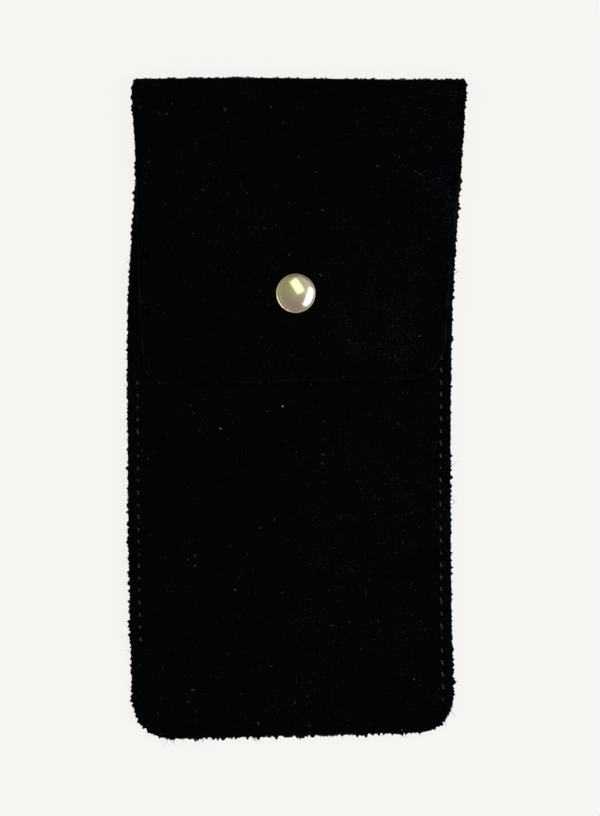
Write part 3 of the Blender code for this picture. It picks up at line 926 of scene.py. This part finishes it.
def suede_material(name):
    """Black suede: a fine brushed nap, with a blue sheen painted in soft patches towards the right, painted
    teal and mauve glints in streaks inside them and in a patch on the body, specks of lint, and a cut edge
    painted paler in patches as a highlight along the rim."""
    material, tree, shader = new_material(
        name, Specular_IOR_Level=0.012,
        Sheen_Weight=0.04, Sheen_Roughness=0.22, Sheen_Tint=(0.6, 0.8, 0.85, 1.0),
    )
    root, tip = (0.0010, 0.0014, 0.0016), (0.0032, 0.0045, 0.0049)
    blue, teal, mauve = (0.0009, 0.0016, 0.0030), (0.0050, 0.0150, 0.0160), (0.0115, 0.0125, 0.0185)
    dim_speck, bright_speck = (0.0150, 0.0240, 0.0225), (0.060, 0.075, 0.070)
    edge_highlight = (0.0055, 0.0078, 0.0082)
    rest = attribute(tree, "rest", "Vector")
    broad = noise_at(tree, rest, 22 * MM, 3)
    nap_noise = noise_at(tree, rest, 0.5 * MM, 3, 0.6, stretch=(1.0, 0.5, 1.0))
    clumps = noise_at(tree, rest, 1.7 * MM, 2, stretch=(1.0, 0.6, 1.0))
    grain = times(tree, ramp(tree, nap_noise, 0.45, 0.7), ramp(tree, clumps, 0.35, 0.7, 0.2, 1.0))
    raised = times(tree, grain, ramp(tree, broad, 0.38, 0.66, 0.3, 1.0))
    color = mixed(tree, raised, root, tip)

    # Painted sheen: soft patches of blue on the flap and down the right side, where the nap catches the light
    # from the right.
    warp = ramp(tree, noise_at(tree, rest, 9 * MM, 3), 0.3, 0.7, -0.55, 0.55)
    flap_sheen_patch = patch_at(tree, rest, (31, 22), (15, 20), warp)
    upper_sheen_patch = patch_at(tree, rest, (38, 48), (5, 30), warp)
    lower_sheen_patch = patch_at(tree, rest, (37, -38), (5, 12), warp)
    painted_sheen = maths(tree, "MAXIMUM", maths(tree, "MAXIMUM", flap_sheen_patch, upper_sheen_patch), lower_sheen_patch)
    color = mixed(tree, times(tree, painted_sheen, 0.7), color, blue)

    # Painted glints: streaks of teal and mauve inside the painted sheen patches.
    busy = ramp(tree, noise_at(tree, rest, 7 * MM, 3), 0.42, 0.62)
    hue = ramp(tree, noise_at(tree, rest, 1.3 * MM, 2), 0.40, 0.60)
    sheen_glint = mixed(tree, hue, teal, mauve)
    streaks = ramp(tree, noise_at(tree, rest, 0.5 * MM, 2, 0.5, stretch=(0.7, 1.0, 1.0)), 0.56, 0.68)
    color = mixed(tree, times(tree, streaks, times(tree, painted_sheen, busy)), color, sheen_glint)
    loose = times(tree, specks(tree, rest, 1.15 * MM, 0.20, 0.45), ramp(tree, broad, 0.3, 0.7, 0.15, 1.0))
    color = mixed(tree, loose, color, dim_speck)
    single = specks(tree, rest, 4.3 * MM, 0.045, 0.6)
    color = mixed(tree, single, color, bright_speck)
    # Painted sheen: teal and mauve streaks in a soft patch on the body, right of the middle.
    body_sheen_patch = patch_at(tree, rest, (14, -22), (14, 24), warp)
    body_sheen = times(tree, ramp(tree, streaks, 0.3, 1.0, 0.0, 0.6), times(tree, body_sheen_patch, busy))
    color = mixed(tree, body_sheen, color, sheen_glint)

    # Painted highlight: the cut edge made paler in patches, where the rim catches the light.
    edge_highlight_mask = ramp(tree, noise_at(tree, rest, 6 * MM, 3), 0.50, 0.66)
    edge_highlight_mask = times(tree, attribute(tree, "cut_edge", "Fac"), edge_highlight_mask)
    color = mixed(tree, edge_highlight_mask, color, edge_highlight)
    drive(tree, shader, color, ramp(tree, nap_noise, 0.3, 0.7, 0.82, 1.0))
    add_bump(tree, shader, maths(tree, "ADD", nap_noise, clumps), 1.0, 0.30 * MM)
    return material


def thread_material():
    """Black polyester thread with a slight gloss on its plies."""
    material, tree, shader = new_material(
        "thread", Specular_IOR_Level=0.5,
        Sheen_Weight=0.15, Sheen_Roughness=0.3, Sheen_Tint=(0.7, 0.85, 0.9, 1.0),
    )
    rest = attribute(tree, "rest", "Vector")
    thread_sheen_noise = noise_at(tree, rest, 3 * MM, 3)
    hairs = noise_at(tree, rest, 0.12 * MM, 2)
    x = node(tree, "SeparateXYZ", {"Vector": rest}).outputs["X"]
    # Painted sheen: the thread is made paler in patches, and more so towards the right, where the window
    # light falls.
    pale = times(tree, ramp(tree, thread_sheen_noise, 0.4, 0.65), ramp(tree, x, -30 * MM, 30 * MM, 0.6, 1.0))
    color = mixed(tree, pale, (0.006, 0.008, 0.008), (0.036, 0.055, 0.062))
    drive(tree, shader, color, ramp(tree, hairs, 0.3, 0.7, 0.35, 0.6))
    add_bump(tree, shader, hairs, 0.35, 0.03 * MM)
    return material


def fluff_material():
    """Hairs, each in its own tint."""
    material, tree, shader = new_material("fluff", Specular_IOR_Level=0.3)
    tint = attribute(tree, "tint", "Color")
    place = node(tree, "TexCoord").outputs["Object"]
    drive(tree, shader, tint, ramp(tree, noise_at(tree, place, 1 * MM), 0.3, 0.7, 0.5, 0.8))
    return material


def metal_material(name, color, worn, low, high):
    """Plated metal with a faint haze, fine scratches, and roughness from low to high."""
    material, tree, shader = new_material(name, Metallic=1.0)
    place = node(tree, "TexCoord").outputs["Object"]
    haze = noise_at(tree, place, 4 * MM, 3)
    scratches = noise_at(tree, place, 0.35 * MM, 4, 0.7, stretch=(0.12, 1.0, 1.0))
    plated = mixed(tree, ramp(tree, haze, 0.35, 0.65), color, worn)
    drive(tree, shader, plated, ramp(tree, scratches, 0.35, 0.7, low, high))
    add_bump(tree, shader, scratches, 0.08, 0.01 * MM)
    return material


# ---- camera, light and floor

def make_camera():
    """A long lens straight above the case, with the fold at the top of the picture."""
    middle_x, middle_y = 0.75 * MM, 0.125 * MM
    height, seen_tall, seen_at = 3.0, 204 * MM, 6 * MM
    data = bpy.data.cameras.new("camera")
    data.sensor_width = 36
    data.lens = data.sensor_width * (height - seen_at) / seen_tall
    camera = add_object("camera", data)
    camera.location = (middle_x, middle_y, height)
    bpy.context.scene.camera = camera


def softbox(name, azimuth, elevation, size, power, color, roll=0.0):
    """A rectangular area light a metre from the snap and facing it, at an azimuth from +X."""
    data = bpy.data.lights.new(name, "AREA")
    data.shape = "RECTANGLE"
    data.size, data.size_y = size
    data.energy = power
    data.color = color
    lamp = add_object(name, data)
    a, e = math.radians(azimuth), math.radians(elevation)
    way = Vector((math.cos(a) * math.cos(e), math.sin(a) * math.cos(e), math.sin(e)))
    lamp.location = SNAP + way
    lamp.rotation_mode = "QUATERNION"
    lamp.rotation_quaternion = way.to_track_quat("Z", "Y") @ Quaternion((0, 0, 1), math.radians(roll))


def make_world():
    """A dim studio round the case: warm olive to the upper left, grey to the right, mauve below, and
    dark low behind the fold."""
    world = bpy.data.worlds.new("studio")
    bpy.context.scene.world = world
    world.use_nodes = True
    tree = world.node_tree
    way = node(tree, "TexCoord").outputs["Generated"]
    parts = node(tree, "SeparateXYZ", {"Vector": way}).outputs
    across = ramp(tree, parts["X"], -0.7, 0.7)
    along = ramp(tree, parts["Y"], -0.8, 0.35)
    near_table = ramp(tree, parts["Z"], 0.53, 0.62, 1.0, 0.0)
    low = times(tree, near_table, ramp(tree, parts["X"], -0.5, 0.2, 1.0, 0.25))
    behind = times(tree, near_table, ramp(tree, parts["Y"], 0.05, 0.75, 0.0, 0.8))
    color = mixed(tree, across, (0.36, 0.35, 0.22), (0.66, 0.66, 0.60))
    color = mixed(tree, along, (0.36, 0.29, 0.25), color)
    color = mixed(tree, low, color, (0.60, 0.60, 0.58))
    color = mixed(tree, behind, color, (0.16, 0.14, 0.13))
    tree.links.new(color, tree.nodes["Background"].inputs["Color"])


def make_light():
    make_world()
    softbox("warm_box", 86, 69, (0.82, 0.42), power=1.3, color=(1.0, 0.96, 0.66), roll=-54)
    softbox("window_box", -18, 47, (1.0, 0.48), power=2.4, color=(0.95, 0.98, 1.0), roll=-3)
    softbox("low_box", 209, 29, (0.66, 0.14), power=0.40, color=(1.0, 0.93, 0.62))
    softbox("low_lamp", 245, 29, (0.12, 0.14), power=0.07, color=(1.0, 0.90, 0.60))
    bpy.context.scene.view_settings.view_transform = "Standard"


def make_floor():
    """A pale table that lights itself for the most part, so it stays even in the picture."""
    size = 4.0
    corners = [(-size, -size, 0), (size, -size, 0), (size, size, 0), (-size, size, 0)]
    floor = make_mesh("floor", corners, [], [(0, 1, 2, 3)], smooth=False)
    floor.location.z = -0.02 * MM
    material = new_material(
        "floor", Base_Color=(0.12, 0.12, 0.118, 1), Roughness=0.9, Specular_IOR_Level=0.0,
        Emission_Color=(1.0, 0.984, 0.972, 1), Emission_Strength=0.845,
    )[0]
    floor.data.materials.append(material)


# ---- assembly

def bend_with_flap(piece):
    """Bakes a piece's transform into its mesh; the piece is not bent over the fold."""
    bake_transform(piece)


def place_piece(piece, material, body, slot, *nodes):
    """Gives a piece its material and its body, and hides the CAD nodes that it stands for; slot is not used.
    A piece without a body of its own has its transform baked into its mesh."""
    piece.data.materials.append(material)
    if body:
        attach(piece, body)
    else:
        bend_with_flap(piece)
    if nodes:
        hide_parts(*nodes)


def make_suede():
    suede = suede_material("suede")
    shank = (SNAP.x, FOLD_S + FOLD_LENGTH + HINGE.y - SNAP.y, SHANK_HOLE)
    post = (SNAP.x, SNAP.y, POST_HOLE)
    wrap = build_sheet("suede_wrap", wrap_outline(), [shank], wrap_surface, no_sink, back_sink)
    place_piece(wrap, suede, None, "suede", "back_panel", "flap_fold", "flap")
    front = build_sheet("suede_front", front_outline(), [post], front_surface, seam_sink, no_sink)
    place_piece(front, suede, "pouch", "suede", "front_panel")


def make_seam():
    material = thread_material()
    top = stitched("needle_stitches", surface_z=FRONT_SEAM_TOP, out=1, seed=0)
    place_piece(top, material, "pouch", "thread", "needle_thread")
    under = stitched("bobbin_stitches", surface_z=0.27 * MM, out=-1, seed=7)
    place_piece(under, material, "pouch", "thread", "bobbin_thread")


def make_snap():
    gold = metal_material("pale_gold", (0.74, 0.69, 0.52), (0.68, 0.64, 0.53), 0.10, 0.20)
    nickel = metal_material("nickel", (0.62, 0.58, 0.46), (0.52, 0.49, 0.42), 0.22, 0.38)
    steel = metal_material("spring_wire", (0.52, 0.52, 0.53), (0.42, 0.42, 0.42), 0.2, 0.35)
    place_piece(make_cap(), gold, "flap", "cap_metal", "snap_cap")
    place_piece(turned("cap_rivet", CAP_RIVET), nickel, "flap", "snap_metal", "snap_cap_rivet")
    place_piece(turned("socket", SOCKET, closed=True), nickel, "flap", "snap_metal", "snap_socket")
    place_piece(make_ring_spring(), steel, "flap", "spring_steel", "snap_ring_spring")
    place_piece(turned("stud", STUD), nickel, "pouch", "snap_metal", "snap_stud")
    place_piece(turned("post", POST, closed=True), nickel, "pouch", "snap_metal", "snap_post")


def make_fluff():
    """Hairs along the cut edges and over the faces, split by what they move with."""
    material = fluff_material()
    wrap = (wrap_outline(), wrap_surface)
    outer, inner = (*wrap, -1, no_sink), (*wrap, 1, no_sink)
    near, end = 1.5 * MM, 1.0
    fold = (FOLD_S - near, FOLD_S + FOLD_LENGTH + near)
    back, flap, whole = (-end, fold[0]), (fold[1], end), (-end, end)
    crest = (FOLD_S + 0.28 * FOLD_LENGTH, FOLD_S + 0.72 * FOLD_LENGTH)
    pieces = {
        "pouch": [
            edge_fluff("back_edge_fluff", *wrap, back, per_mm=8, seed=31),
            stray_hairs("back_stray_hairs", *wrap, back, count=70, seed=32),
        ],
        "flap": [
            edge_fluff("flap_edge_fluff", *wrap, flap, per_mm=8, seed=33),
            nap("flap_nap", outer, flap, per_mm2=0.5, seed=34),
            nap("flap_inner_nap", inner, flap, per_mm2=0.25, seed=35),
            lint("flap_lint", outer, flap, per_mm2=0.030, seed=36),
        ],
        None: [
            edge_fluff("fold_edge_fluff", *wrap, fold, per_mm=8, seed=37),
            tufts("fold_tufts", outer, crest, per_mm2=22, seed=38),
        ],
    }
    front = (front_outline(), front_surface)
    front_face = (*front, 1, seam_sink)
    pieces["pouch"] += [
        edge_fluff("front_edge_fluff", *front, whole, per_mm=8, seed=41),
        stray_hairs("front_stray_hairs", *front, whole, count=40, seed=42),
        nap("front_nap", front_face, whole, per_mm2=0.5, seed=43),
        lint("front_lint", front_face, whole, per_mm2=0.045, seed=44),
    ]
    for body, made in pieces.items():
        for piece in made:
            place_piece(piece, material, body, "suede")


make_camera()
make_light()
make_floor()
make_suede()
make_seam()
make_snap()
make_fluff()
